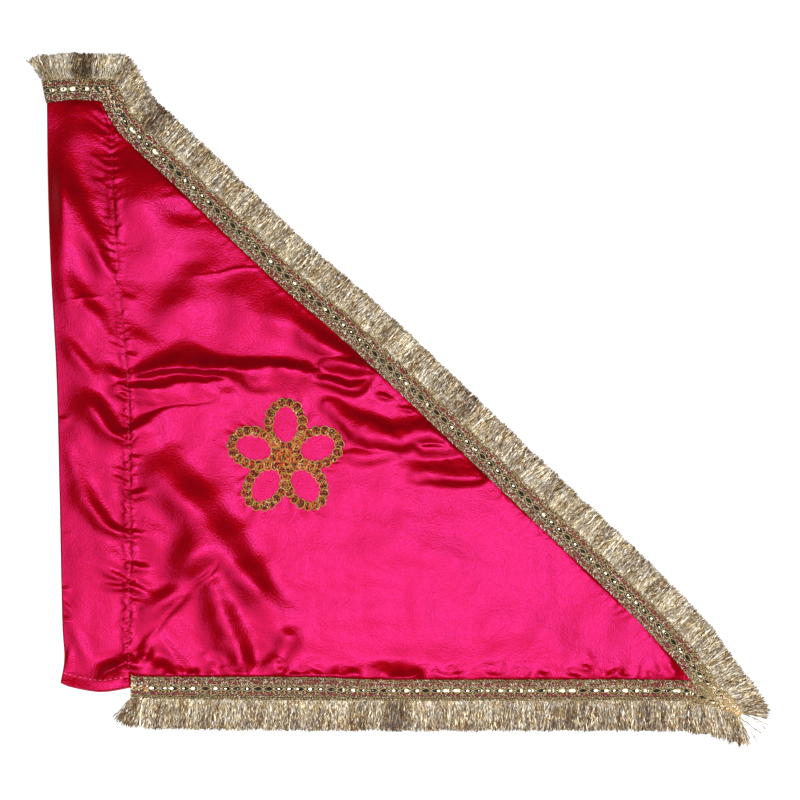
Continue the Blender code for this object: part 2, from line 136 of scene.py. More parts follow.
def reliefOf(folds, x, y, power=4.0):
    # Height of folds given as in panelFolds. The power says how little folds that meet add up.
    total = np.zeros(x.shape)
    for crestShare, rows in folds:
        path = curveThrough(rows, 5 if len(rows) > 3 else 3)
        path[:, 2:] = np.maximum(path[:, 2:], 0.05)
        far = path[:, 3:].max()
        near = ((x > path[:, 0].min() - far) & (x < path[:, 0].max() + far)
                & (y > path[:, 1].min() - far) & (y < path[:, 1].max() + far))
        px, py = x[near], y[near]
        high = np.zeros(px.shape)
        for a, b in zip(path[:-1], path[1:]):
            dx, dy = b[0] - a[0], b[1] - a[1]
            t = np.clip(((px - a[0]) * dx + (py - a[1]) * dy) / (dx * dx + dy * dy + 1e-9), 0, 1)
            gap = np.hypot(px - a[0] - t * dx, py - a[1] - t * dy)
            left = dx * (py - a[1]) - dy * (px - a[0]) >= 0
            reach = np.where(left, a[3] + t * (b[3] - a[3]), a[4] + t * (b[4] - a[4]))
            high = np.maximum(high, (a[2] + t * (b[2] - a[2]))
                              * flank(gap / np.maximum(reach, 0.3), crestShare))
        total[near] += high ** power
    return total ** (1.0 / power)


def dentsOf(dents, x, y):
    # Soft slopes given as in panelDents. Each faces up the flag, across its own length, and so
    # turns away from the lamps. Low on the flag the sheen is fullest, and a slope has to be
    # steeper to show.
    total = np.zeros(x.shape)
    for placeX, placeY, long, wide, turn, slope in dents:
        slope = slope * (1.0 + 0.8 * smoothStep(70.0, -50.0, placeY))
        long, wide = 1.15 * long, 1.4 * wide
        far = 2.7 * max(long, wide)
        near = (np.abs(x - placeX) < far) & (np.abs(y - placeY) < far)
        dx, dy = x[near] - placeX, y[near] - placeY
        cos, sin = math.cos(math.radians(turn)), math.sin(math.radians(turn))
        u, v = (dx * cos + dy * sin) / long, (dy * cos - dx * sin) / wide
        bell = np.exp(-u * u - v * v)
        total[near] += wide * (0.45 * abs(slope) * np.sqrt(bell) - slope * v * bell)
    return total


# Mesh and node helpers
def joined(parts):
    # One set of points, faces and material numbers from several (points, faces, material).
    points, faces, numbers, first = [], [], [], 0
    for part, corners, number in parts:
        points.append(part.reshape(-1, 3))
        faces.append(corners + first)
        numbers.append(np.full(len(corners), number))
        first += len(points[-1])
    return np.vstack(points), faces, np.concatenate(numbers)


def meshObject(name, points, faces, materials, numbers=None, shade=None, smooth=True):
    # Faces come as arrays of three or four corners each.
    mesh = bpy.data.meshes.new(name)
    mesh.vertices.add(len(points))
    mesh.vertices.foreach_set("co", (points * millimetre).astype(np.float32).ravel())
    corners = np.concatenate([f.ravel() for f in faces]).astype(np.int32)
    sizes = np.concatenate([np.full(len(f), f.shape[1]) for f in faces])
    mesh.loops.add(len(corners))
    mesh.loops.foreach_set("vertex_index", corners)
    mesh.polygons.add(len(sizes))
    starts = np.concatenate([[0], np.cumsum(sizes)[:-1]]).astype(np.int32)
    mesh.polygons.foreach_set("loop_start", starts)
    mesh.update(calc_edges=True)
    if numbers is not None:
        mesh.polygons.foreach_set("material_index", numbers.astype(np.int32))
    mesh.polygons.foreach_set("use_smooth", np.full(len(sizes), smooth))
    if shade is not None:
        layer = mesh.attributes.new("shade", "FLOAT", "POINT")
        layer.data.foreach_set("value", shade.astype(np.float32))
    for material in materials:
        mesh.materials.append(material)
    mesh.update()
    obj = bpy.data.objects.new(name, mesh)
    bpy.context.scene.collection.objects.link(obj)
    print("stage:", name, "with", len(corners) - 2 * len(sizes), "triangles")
    return obj


def addPiece(obj, slot, *nodes):
    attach(obj, "root")
    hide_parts(*nodes)
    return obj


def sidesOf(paths):
    # The level direction across each step of a path, and the one square to both.
    way = np.gradient(paths, axis=-2)
    way /= np.linalg.norm(way, axis=-1, keepdims=True)
    side = np.cross(np.array([0.0, 0.0, 1.0]), way)
    side /= np.maximum(np.linalg.norm(side, axis=-1, keepdims=True), 1e-6)
    return side, np.cross(way, side)


def cord(path, radius, sides=5):
    # A round cord along a path in space: points and faces.
    side, up = sidesOf(path)
    turn = 2 * math.pi * np.arange(sides) / sides + 0.5 * math.pi
    ring = np.cos(turn)[:, None] * side[:, None] + np.sin(turn)[:, None] * up[:, None]
    points = path[:, None] + radius * ring
    k = np.arange(len(path) * sides).reshape(-1, sides)
    a, b = k[:-1], k[1:]
    faces = np.stack([a, np.roll(a, -1, 1), np.roll(b, -1, 1), b], axis=-1)
    return points.reshape(-1, 3), faces.reshape(-1, 4)


def grain(sides=5):
    # A rounded grain one unit long, wide and high, from two rings and two ends.
    turn = 2 * math.pi * np.arange(sides) / sides
    points = [(-0.5, 0, 0)]
    for x, r in ((-0.26, 0.45), (0.26, 0.45)):
        points += [(x, r * math.cos(t), r * math.sin(t)) for t in turn]
    points.append((0.5, 0, 0))
    last = 2 * sides + 1
    faces = []
    for k in range(sides):
        n = (k + 1) % sides
        faces += [(0, 1 + n, 1 + k), (1 + k, 1 + n, 1 + sides + n),
                  (1 + k, 1 + sides + n, 1 + sides + k), (1 + sides + k, 1 + sides + n, last)]
    return np.array(points), np.array(faces)


def stamped(template, centres, turns, sizes, tilts=0.0):
    # Copies of a template at centres, turned about Z and tilted along their own length.
    points, faces = template
    count = len(centres)
    shape = points[None] * np.broadcast_to(sizes, (count, 3))[:, None, :]
    tilts = np.broadcast_to(tilts, (count,))[:, None]
    turns = np.broadcast_to(turns, (count,))[:, None]
    x = shape[..., 0] * np.cos(tilts) - shape[..., 2] * np.sin(tilts)
    z = shape[..., 0] * np.sin(tilts) + shape[..., 2] * np.cos(tilts)
    y = shape[..., 1]
    placed = np.stack([x * np.cos(turns) - y * np.sin(turns),
                       x * np.sin(turns) + y * np.cos(turns), z], axis=-1) + centres[:, None, :]
    corners = (faces[None] + (np.arange(count) * len(points))[:, None, None]).reshape(-1, 3)
    return placed.reshape(-1, 3), corners


def torus(sides, tubeSides, thickness):
    # A ring one unit across, lying flat.
    turn = 2 * math.pi * np.arange(sides) / sides
    tubeTurn = 2 * math.pi * np.arange(tubeSides) / tubeSides
    radius = 0.5 * thickness
    out = 0.5 - radius + radius * np.cos(tubeTurn)
    points = np.stack([np.cos(turn)[:, None] * out, np.sin(turn)[:, None] * out,
                       np.broadcast_to(radius * np.sin(tubeTurn), (sides, tubeSides))], axis=-1)
    k = np.arange(sides * tubeSides).reshape(sides, tubeSides)
    n = np.roll(k, -1, 0)
    quads = np.stack([k, n, np.roll(n, -1, 1), np.roll(k, -1, 1)], axis=-1).reshape(-1, 4)
    return points.reshape(-1, 3), np.vstack([quads[:, [0, 1, 2]], quads[:, [0, 2, 3]]])


def ribbons(paths, widths, rolls):
    # Flat strips along many paths, each rolled about its own path step by step.
    side, up = sidesOf(paths)
    half = 0.5 * widths[..., None] * (side * np.cos(rolls)[..., None]
                                      + up * np.sin(rolls)[..., None])
    points = np.stack([paths - half, paths + half], axis=2)
    k = np.arange(points.size // 3).reshape(points.shape[:3])
    faces = np.stack([k[:, :-1, 0], k[:, 1:, 0], k[:, 1:, 1], k[:, :-1, 1]], axis=-1)
    return points.reshape(-1, 3), faces.reshape(-1, 4)


def stampedByKind(template, kinds, *settings):
    # Copies as in stamped, parted by the number of the material that each of them has.
    parts = []
    for kind in np.unique(kinds):
        chosen = kinds == kind
        parts.append((*stamped(template, *(each[chosen] for each in settings)), kind))
    return parts


def linear(code):
    # A colour in linear light from its hex code.
    parts = [int(code[k:k + 2], 16) / 255 for k in (1, 3, 5)]
    return (*[c / 12.92 if c <= 0.04045 else ((c + 0.055) / 1.055) ** 2.4 for c in parts], 1.0)


def addNode(material, kind, settings=None, links=None):
    # A node with its own settings or socket values, and links given as socket: (node, output).
    tree = material.node_tree
    node = tree.nodes.new(kind)
    for name, value in (settings or {}).items():
        if name in node.inputs:
            node.inputs[name].default_value = value
        else:
            setattr(node, name, value)
    for name, (source, output) in (links or {}).items():
        tree.links.new(source.outputs[output], node.inputs[name])
    return node


def emptyMaterial(name):
    material = bpy.data.materials.new(name)
    material.use_nodes = True
    material.node_tree.nodes.clear()
    return material


def finishMaterial(material, shader, output="BSDF"):
    addNode(material, "ShaderNodeOutputMaterial", links={"Surface": (shader, output)})
    return material


# Outline of the flag, as in the solids
foldedSide = curveThrough((
    (-248.6, 222), (-248.2, 206), (-247.5, 150), (-245.3, 86), (-241.5, 15), (-239.3, -70),
    (-237.5, -155), (-236.0, -182), (-238.7, -200)))
seam = curveThrough((
    (-205.0, 222), (-206.4, 216), (-208.1, 212.5), (-210.9, 207), (-208.6, 201.5), (-204.9, 193.5),
    (-202.8, 184), (-201.6, 145), (-199.5, 100), (-194.5, 42), (-191.3, 5), (-190.2, -60),
    (-190.1, -115), (-190.8, -170), (-190.1, -206)))
mouth = curveThrough((
    (-238.7, -200), (-231.0, -203), (-212.0, -206.4), (-199.0, -205.1), (-190.1, -203.3)))
topEdge = curveThrough(((-248.5, 205.9), (-228.6, 208.1), (-209.4, 207.0)))
topRoots = curveThrough(((-251.7, 222.3), (-228.0, 223.4), (-200.2, 223.2)))
slantEdge = curveThrough((
    (-210.0, 206.8), (-200.6, 189.4), (-187.3, 175.0), (-159.3, 149.0), (-89.5, 82.4),
    (-31.4, 31.5), (80.2, -74.8), (136.3, -127.8), (163.8, -154.8), (190.2, -182.9),
    (202.6, -198.4)))
slantOut = movedOut(slantEdge, 16.0)
slantTip = curveThrough((
    (211.1, -185.2), (219.5, -196.4), (227.9, -206.2), (234.9, -214.6), (239.4, -221.4)))
slantRoots = np.vstack([(-201.3, 223.0), slantOut[2:][slantOut[2:, 0] < 208.1], slantTip])
bottomEdge = curveThrough((
    (-189.4, -193.2), (-176.1, -195.0), (-64.1, -195.4), (-6.7, -197.2), (181.0, -197.3),
    (201.9, -199.3)))
bottomRoots = curveThrough((
    (-189.4, -209.7), (-158.6, -211.4), (-6.7, -212.5), (181.0, -212.5), (202.0, -213.9),
    (219.5, -217.0), (236.4, -223.6)))
flowerCentre = (-81.0, -42.5)

# Satin
satinLook = {
    "rows": 450,
    "sleeveColumns": 44,
    "panelStep": 1.4,
    "clothHeight": 1.0,
    "sleeveHeight": 0.8,
    "rollHeight": 0.38,
    "highestRow": 218.0,
    "panelReach": 446.0,
    "underTrim": 12.0,
    "hemInset": 0.6,
    "hemDepth": 10.0,
    "hemCurl": 0.24,
    "hemRidge": 0.3,
    "seamPitch": 2.7,
    "mouthPitch": 3.6,
    "diffuse": "#6e0107",
    "broadTint": "#ff0920",
    "broadLevel": 0.84,
    "broadRoughness": 0.44,
    "sheenColor": "#dd5bf3",
    "sheenRoughness": 0.22,
    "sheenShare": 0.0225,
}

# Each fold: how much of its flank the rounded crest takes, then rows along the crest of
# x, y, height, reach to the left of the way the rows go, and reach to the right.
panelFolds = (
    (0.3, ((-186, 16, .8, 7, 5), (-169, 18.5, 4.8, 16, 5), (-151.5, 20.5, 6, 19, 5),
           (-134, 20, 5.2, 14, 5), (-116.5, 18.5, 4.4, 12, 10), (-95.5, 19, 4.2, 11.5, 18),
           (-71, 19, 3.6, 10, 20), (-60, 20.5, .3, 4, 12))),
    (0.2, ((-191.5, 6.5, 1, 5, 16), (-181.5, 7.5, 3, 6.5, 24), (-169, 6.5, 3.2, 7, 25),
           (-151.5, 9, 2.8, 6.5, 22), (-134, 11, 2, 5, 18), (-118.5, 13.5, .4, 3, 10))),
    (0.2, ((-189.5, -22, .6, 3, 12), (-183, -20, 3.2, 9, 22), (-174.5, -14.5, 2.6, 7.5, 24),
           (-165, -10, 1.9, 5.5, 24), (-148, -5, 1, 3.5, 20), (-125.5, -2.5, .3, 2.5, 12))),
    (0.1, ((-144.5, 86, .2, 1.5, 2), (-132, 88, .5, 1.6, 2.4), (-112, 90, .5, 1.6, 2.4),
           (-98, 91, .1, 1.5, 2))),
    (0.5, ((-72, 50, .3, 8, 8), (-62, 42, 1.6, 14, 16), (-52, 36, 2.4, 13, 15),
           (-40, 31, 1.6, 9, 10), (-32, 28, .3, 4, 5))),
    (0.5, ((-56, 24, .3, 4, 5), (-50, 23.5, 2, 8, 8), (-34.5, 22, 2.6, 9, 9),
           (-22, 19.5, 2.2, 8, 8), (-15, 18, 1, 5, 6), (-10, 17, .2, 3, 3))),
    (0.5, ((-68, 14.5, .2, 3, 4), (-64, 13.5, 1.2, 5, 6), (-50, 11, 1.9, 6, 8),
           (-37.5, 6.5, 2.2, 7, 8), (-28, 10, 1.8, 6, 7), (-22, 13.5, .6, 4, 4))),
    (0.2, ((-18, 3, .2, 2, 3), (-12, 1.5, 1.4, 4, 5), (-6, -1, .2, 2, 3))),
    (0.2, ((-3, -7, .2, 2, 3), (3, -8.5, 1.4, 4, 5), (8, -11, .2, 2, 3))),
    (0.5, ((-56, -4, .4, 5, 6), (-50, -7.5, 2.2, 9, 10), (-36, -16, 3.6, 12, 14),
            (-18.5, -25.5, 4.5, 14, 16), (-4.5, -28.5, 4.6, 14, 16), (4.5, -25.5, 4.2, 13, 15),
            (20, -25.5, 3.6, 12, 13), (35.5, -34.5, 2, 8, 9), (42, -40, .4, 3, 4))),
    (0.4, ((2, -26, .4, 3, 5), (8, -30, 2, 6, 8), (16.5, -35.5, 2.6, 7, 10),
            (32.5, -37, 2.2, 7, 9), (42, -38, .4, 3, 4))),
    (0.5, ((-52, -39, .1, 7, 6), (-38, -41, 1.2, 11, 10), (-22, -41.5, 1.8, 12.5, 10),
            (-8, -41, 1.4, 10, 9), (-2, -40, .2, 5, 5))),
    (0.5, ((-12, -51, .1, 9, 7), (2, -52.5, .8, 11, 9), (13, -54, 2.2, 12, 10),
           (24, -54.5, 3.3, 12.5, 11), (40, -54.5, 3.5, 12.5, 11), (52, -55, 2.4, 9, 9),
           (60, -56, .4, 4, 5))),
    (0.06, ((-187, -180, .2, 3, 3), (-178, -170, .6, 4, 4), (-161, -150, .7, 4, 4),
            (-146, -133.5, .9, 4, 5), (-133, -120, 1, 4, 5), (-128, -115, .2, 2, 3))),
)
sleeveFolds = (
    (0.1, ((-244, 67.5, .3, 2, 2.5), (-225, 68.5, .5, 2.2, 3), (-207, 69.5, .2, 2, 2))),
    (0.2, ((-214, -198, .3, 3, 3), (-208.5, -194, 1.4, 4, 3), (-202.5, -190, 1.8, 5, 3),
           (-192, -185, 1.0, 4, 3))),
)

# Each slope: x, y, half length, half width, turn in degrees, slope.
panelDents = (
    (-188, 162, 17, 21, 8, .22), (-181, 143, 15, 12, 22, .17), (-165, 152, 10, 6, -10, .12),
    (-162, 141, 6, 2, 10, .15), (-155, 136, 9, 5, 25, -.1), (-151.5, 123, 15, 5, -10, .13),
    (-137.5, 103, 10, 8, -50, .1), (-162, 101, 14, 10, 45, -.1), (-142.5, 90.5, 10, 6, 20, .18),
    (-156.5, 70.5, 14, 10, 40, .2), (-117, 76, 10, 8, 50, .15), (-104, 68, 12, 10, 10, .12),
    (-94, 58, 6, 9, 40, .13), (-74, 58, 17, 8, -38, .2), (-50, 40, 15, 7, -36, .24),
    (-34, 26, 12, 5, -15, .2), (-41, 12, 15, 5, -5, .2), (-111, 44, 14, 9, 0, -.08),
    (-123.5, 5, 8, 5, 0, .14), (-104, 9, 7, 3.5, 0, .1), (-179.5, -.5, 12, 2.5, -5, .12),
    (-166, -42, 12, 13, -20, .11), (-147, -64, 16, 13, -36, .22), (-125, -91, 13, 13, -44, .29),
    (-107, -117, 12, 11, -38, .24), (-96, -131, 8, 7, -45, .15), (-87, -141, 15, 9, -42, .11),
    (-141, -106, 10, 12, -46, .24), (-170, -90, 16, 10, -48, .13), (-164, -136, 10, 6, 30, .26),
    (-176, -143, 9, 7, 20, .12), (-124, -142, 8, 9, -28, .23), (-118, -156, 7, 9, -28, .2),
    (-110, -172, 10, 7, -75, .18), (-129, -128, 7, 7, -28, .22), (-107.5, -183, 8, 6, -70, .26),
    (-90, -181, 13, 5.5, 50, .2), (-79, -163.5, 7, 5.5, -12, .2),
    (-160.5, -175, 12, 3.5, -55, .14), (-169, -186.5, 10, 5.5, -15, .3),
    (-176, -194, 6, 4, -10, .25), (-157, -193, 7, 3.5, -40, .2), (-181.5, -177, 8, 3.5, 60, .35),
    (-187, -184, 6, 3, -35, .3), (-146, -191.5, 3, 2.5, 0, .3), (-138, -179.5, 3.5, 3, 0, .1),
    (-132.5, -186.5, 3, 2.5, 0, .16), (-133, -193, 3, 2.2, 0, .3), (-126.5, -170.5, 4, 4, 0, .08),
    (-120, -188, 5, 4, 0, .16), (-84.5, -189.5, 3, 3, 30, .24), (-61, -191.5, 3.5, 2.2, -40, .28),
    (-60.5, -183, 5, 3.5, 0, .07), (-67, -194.5, 5, 2, 0, .2), (-43, -190.5, 6, 4, 0, .13),
    (-32.5, -192, 4, 3, 0, .25), (-18.5, -188.5, 4, 3.5, 0, .12), (-3, -190.5, 11, 7, 0, .22),
    (-2, -194.5, 9, 3, 0, .24), (10, -191.5, 3.5, 4, 0, .16), (29, -193, 8, 2.2, -10, .16),
    (60, -186.5, 7, 5, -20, .08), (67, -193.5, 5, 3, 0, .22), (87, -190, 4, 3, 0, .08),
    (122, -195, 5, 2.5, 0, .24), (130, -188, 3, 2, 0, .14), (133.5, -182.5, 6, 2, -55, .08),
    (145, -193, 4, 2.5, 40, .22), (154.5, -194.5, 5.5, 2.2, -15, .22),
    (191.5, -189.5, 7, 3, -60, .2), (36, -108, 16, 14, -50, .045), (70, -150, 20, 14, 20, .04),
    (20, -150, 18, 12, -60, .04), (120, -120, 18, 12, 30, .03), (-20, -100, 18, 14, 60, .04),
    (110, -165, 16, 10, -30, .035), (-183, -117, 7, 2.6, -10, .3), (-177.5, -123.5, 6, 5, -40, .1),
    (-184, -132, 7.5, 2.4, -28, .3), (-187, -141.5, 4, 1.6, -10, .25),
    (-186, -93.5, 5, 2, -10, .28), (-184, -65.5, 6, 3, 10, .3), (-187, -41, 4, 2, 0, .25),
    (-188.5, 30, 4, 2.5, 0, .25), (-184.5, 45, 9, 5.5, -30, .2), (-191.5, 71, 5, 2.6, -20, .28),
)
sleeveDents = (
    (-226, 204, 28, 5, 0, .13), (-227, 203, 3, 2, 0, -.15), (-237, 170, 8, 25, 0, .14),
    (-240, 142, 10, 22, 0, .16), (-241, 197, 9, 6, -8, .12), (-219.5, 190.5, 10, 7, -10, .12),
    (-219, 170, 9, 9, -40, -.02), (-240, 104, 12, 28, -8, .08), (-228, 146, 18, 9, -58, .26),
    (-214, 117, 17, 8, -62, .38), (-206, 96, 12, 5, -68, .4), (-225, 74, 16, 7, -52, .22),
    (-214.5, 63, 9, 5, -50, .22), (-202.5, 46, 9, 4, -50, .16), (-226.5, 44, 18, 6, -50, -.08),
    (-222, 28, 15, 4.5, -52, .3), (-213, -2, 8, 8, -50, .2), (-205.5, -14.5, 13, 6, -58, .34),
    (-197, -25, 7, 3, -30, .34), (-218, -65, 10, 6, -70, .14), (-209, -81, 12, 5, -52, .3),
    (-198.5, -91.5, 8, 2.8, -28, .32), (-202.5, -105.5, 12, 5, -45, .09),
    (-230, -40, 12, 4, -65, .12), (-237, -14, 3, 2, 0, .3), (-235, -95, 4, 2, 0, .12),
    (-236, -133, 3, 2.2, 0, .3), (-234, -144.5, 5, 2, -45, .28), (-235, -154, 3.5, 2.2, -15, .28),
    (-223.5, -169.5, 12, 3.5, -65, .13), (-234.5, -182, 6, 2.2, 80, .35),
    (-203.5, -187, 8, 5, 25, .4), (-199, 17, 7, 4, -35, .32), (-199, 9, 5, 2.6, 15, .26),
    (-194, 2, 4, 2, -30, .28), (-195, -49.5, 4.5, 1.6, -10, .2), (-195.5, -56.5, 6, 1.8, -20, .25),
    (-198.5, -123.5, 8, 2.6, -25, .26), (-197.5, -131, 8, 2.4, -5, .32),
    (-194, -155, 5, 1.5, 25, .2), (-192.5, -147.5, 4, 1.5, 40, .15),
)


def seamPuckers(pick):
    # Small puckers that the running stitches pull up on both sides of the seam, stronger and
    # longer in its upper part.
    dents = []
    y = 203.0
    while y > -198:
        for side in (-1, 1):
            start = acrossAt(seam, y)
            long = pick.uniform(1.0, 2.2)
            dents.append((start + side * (0.3 + long), y, long, pick.uniform(0.8, 1.2),
                          -side * pick.uniform(-60, 20), pick.uniform(0.2, 0.5)))
        y -= satinLook["seamPitch"]
    y = 199.0
    while y > -60:
        strong = y > 100
        for side in (-1, 1):
            if pick.uniform() < (0.95 if strong else 0.35):
                long = pick.uniform(3.0, 7.0) * (1.0 if side < 0 else 0.55)
                turn = pick.uniform(-60, 5)
                dents.append((acrossAt(seam, y) + side * (0.8 * long + 0.4),
                              y - 0.7 * long * math.sin(math.radians(turn)), long,
                              pick.uniform(0.9, 1.8), turn * -side, pick.uniform(0.2, 0.36)
                              / math.cos(math.radians(turn)) * (1.0 if strong else 0.6)))
        y -= pick.uniform(3.5, 7.0)
    return dents


def hemPuckers(pick):
    # Small gathers where the bottom trim is sewn on.
    return [(x + pick.uniform(-3, 3), -194.5 + pick.uniform(0, 1) ** 2 * (15 if x < -40 else 8),
             pick.uniform(1.4, 3.4), pick.uniform(1.2, 3.0), pick.uniform(-75, 75),
             pick.uniform(0.05, 0.28 if x < -40 else 0.15)) for x in np.arange(-184, 200, 3.6)]


def slantPuckers(pick):
    # Short gathers along the slanted trim.
    dents = []
    for share in np.arange(0.03, 0.98, 0.011):
        x, y = placeAt(slantEdge, share)
        out = pick.uniform(1, 5)
        dents.append((x - 0.69 * out, y - 0.72 * out, pick.uniform(1.5, 4.5),
                      pick.uniform(0.8, 1.8), pick.uniform(20, 70), pick.uniform(0.04, 0.18)))
    return dents


def flowerWrinkles(x, y):
    # Fine wrinkles that run out from the braid, where it is sewn down.
    dx, dy = x - flowerCentre[0], y - flowerCentre[1]
    out = np.hypot(dx, dy)
    turn = np.arctan2(dy, dx)
    rim = 36 + 6 * np.cos(5 * (turn - math.pi / 2))
    wave = np.sin(27 * turn + 2.2 * np.sin(3 * turn)) * (0.55 + 0.45 * np.sin(5 * turn + 1.3))
    return 0.35 * wave * smoothStep(rim - 4, rim + 1, out) * smoothStep(rim + 11, rim + 1, out)


pick = np.random.default_rng(5)
allDents = [*panelDents, *sleeveDents, *seamPuckers(pick), *hemPuckers(pick), *slantPuckers(pick)]


def warped(x, y):
    # Places moved about a little, so that no fold keeps an even width.
    return (x + 1.6 * rolling(x, y, 26, 61) + 0.35 * rolling(x, y, 9, 62),
            y + 1.6 * rolling(x, y, 26, 63) + 0.35 * rolling(x, y, 9, 64))


def reliefAt(x, y):
    # Everything that crosses the seam, which itself is held down by its stitches.
    folds = reliefOf(panelFolds + sleeveFolds, *warped(x, y))
    folds = folds * (1 + 0.16 * rolling(x, y, 30, 65) + 0.05 * rolling(x, y, 12, 66))
    roll = rolling(x, y, 52, 3) + 0.5 * rolling(x, y, 24, 4) + 0.14 * rolling(x, y, 11, 5)
    folds = folds + dentsOf(allDents, x, y) + satinLook["rollHeight"] * (1 + roll)
    return folds - 0.12 * np.exp(-((x - acrossAt(seam, y)) / 1.6) ** 2)


def panelHeight(x, y):
    inner = np.minimum(-insideOf(slantEdge, x, y), insideOf(bottomEdge, x, y))
    folds = reliefAt(x, y)
    fromFlower = np.hypot(x - flowerCentre[0], y - flowerCentre[1])
    folds = folds * (0.3 + 0.7 * smoothStep(36, 50, fromFlower))
    lift = (folds + flowerWrinkles(x, y)) * smoothStep(-1.2, 1.2, inner)
    return satinLook["clothHeight"] + lift


def mouthAt(x):
    return np.interp(x, mouth[:, 0], mouth[:, 1])


def sleeveTop(u, x, y):
    # Height of the sleeve's upper layer, which stands open a little between its two sides.
    width = acrossAt(seam, y) - acrossAt(foldedSide, y)
    fromFold, fromSeam = u * width, (1 - u) * width
    opened = smoothStep(205.5, 184, y)
    rise = smoothStep(0, 16.0, fromFold) * smoothStep(0, 16, fromSeam)
    folds = reliefAt(x, y) * (0.6 + 0.4 * smoothStep(0, 12.0, fromFold)) * smoothStep(209, 205, y)
    # The turned-up hem of the mouth curls a little off the table and ends in a ridge.
    hem, fromMouth = satinLook["hemDepth"], y - mouthAt(x)
    curl = (satinLook["hemCurl"] * np.clip(hem - fromMouth, 0, hem)
            + satinLook["hemRidge"] * np.exp(-((fromMouth - (hem - 0.2)) / 1.3) ** 2))
    return satinLook["clothHeight"] + satinLook["sleeveHeight"] * rise * opened + folds + curl


def satinMesh():
    # Each row runs along the sleeve's lower layer, round its folded side and back over its
    # upper layer to the seam.
    rows, highest = satinLook["rows"], satinLook["highestRow"]
    down = np.linspace(0, 1, rows)[:, None]
    lower = np.array([1.08, 1.0, 0.85, 0.7, 0.55, 0.4, 0.25, 0.12, 0.04])
    upper = np.concatenate([[0.014], np.linspace(0.026, 0.985, satinLook["sleeveColumns"])])
    u = np.concatenate([lower, [0.008, 0.0, 0.008], upper, [1.0]])[None, :]
    isUpper = np.concatenate([np.zeros(len(lower) + 2), [0.3], np.ones(len(upper) + 1)])[None, :]
    guess = foldedSide[-1, 0] + u * (seam[-1, 0] - foldedSide[-1, 0])
    y = highest + down * (mouthAt(np.minimum(guess, seam[-1, 0])) - highest)
    left, right = acrossAt(foldedSide, y), acrossAt(seam, y)
    y = y + down * satinLook["hemInset"] * isUpper
    x = left + u * (right - left)
    z = np.full(x.shape, 0.2)
    face = len(lower) + 3
    z[:, face - 4:face] = 0.18, 0.2, 0.6, 1.0
    z[:, face:] = sleeveTop(np.broadcast_to(u, x.shape)[:, face:], x[:, face:], y[:, face:])
    z[-1, face:] = 0.7

    # The panel carries each row on to a ragged end under the slanted trim.
    gaps = np.concatenate([[0.6, 1.3, 2.1, 3.0, 4.0, 5.1, 6.3, 7.6],
                           np.arange(9.0, satinLook["panelReach"], satinLook["panelStep"])])
    py = np.repeat(y[:, -1:], len(gaps), axis=1)
    px = x[:, -1:] + gaps[None, :]
    border = np.vstack([movedOut(slantEdge, satinLook["underTrim"]), (226.0, -206.0)])
    held = px < acrossAt(border, py)
    pz = np.full(px.shape, satinLook["clothHeight"])
    pz[held] = panelHeight(px[held], py[held])
    x, y, z = (np.hstack(pair) for pair in ((x, px), (y, py), (z, pz)))

    # Faces stand only where all four corners are held, and points only where faces use them.
    held = np.hstack([np.ones((rows, u.shape[1]), bool), held])
    number = np.full(x.shape, -1)
    number[held] = np.arange(held.sum())
    full = held[:-1, :-1] & held[1:, :-1] & held[:-1, 1:] & held[1:, 1:]
    quads = np.stack([number[:-1, :-1][full], number[1:, :-1][full],
                      number[1:, 1:][full], number[:-1, 1:][full]], axis=-1)
    points = np.stack([x[held], y[held], z[held]], axis=-1)
    used = np.zeros(len(points), bool)
    used[quads] = True
    return points[used], (np.cumsum(used) - 1)[quads]


def satinMaterial():
    # Polyester satin: deep crimson in its slopes and a hot pink sheen where it faces the light.
    material = emptyMaterial("polyester satin")
    place = addNode(material, "ShaderNodeTexCoord")
    # The threads are about 0.15 mm apart; they are drawn as streaks 0.5 mm wide.
    stretch = addNode(material, "ShaderNodeMapping", {"Scale": (2000.0, 260.0, 1.0)},
                      {"Vector": (place, "Object")})
    threads = addNode(material, "ShaderNodeTexNoise", {"Scale": 1.0, "Detail": 1.0},
                      {"Vector": (stretch, "Vector")})
    bump = addNode(material, "ShaderNodeBump", {"Strength": 0.10, "Distance": 0.0002},
                   {"Height": (threads, "Fac")})
    # Slubs about 1 mm long, and the softer unevenness of cloth that has been handled.
    for scale, strength, distance in ((900.0, 0.5, 0.0004), (120.0, 0.12, 0.0008)):
        rough = addNode(material, "ShaderNodeTexNoise", {"Scale": scale, "Detail": 1.0},
                        {"Vector": (place, "Object")})
        bump = addNode(material, "ShaderNodeBump", {"Strength": strength, "Distance": distance},
                       {"Height": (rough, "Fac"), "Normal": (bump, "Normal")})
    cloth = addNode(material, "ShaderNodeBsdfPrincipled", {
        "Base Color": linear(satinLook["diffuse"]), "Roughness": satinLook["broadRoughness"],
        "IOR": 1.8, "Specular IOR Level": satinLook["broadLevel"],
        "Specular Tint": linear(satinLook["broadTint"])}, {"Normal": (bump, "Normal")})
    sheen = addNode(material, "ShaderNodeBsdfAnisotropic", {
        "distribution": "BECKMANN", "Color": linear(satinLook["sheenColor"]),
        "Roughness": satinLook["sheenRoughness"]}, {"Normal": (bump, "Normal")})
    both = addNode(material, "ShaderNodeMixShader", {"Fac": satinLook["sheenShare"]})
    for socket, source in zip(both.inputs[1:], (cloth, sheen)):
        material.node_tree.links.new(source.outputs["BSDF"], socket)
    return finishMaterial(material, both, "Shader")


points, quads = satinMesh()
satin = addPiece(meshObject("satin", points, [quads], [satinMaterial()]),
                 "satin", "satin_panel", "pole_sleeve")


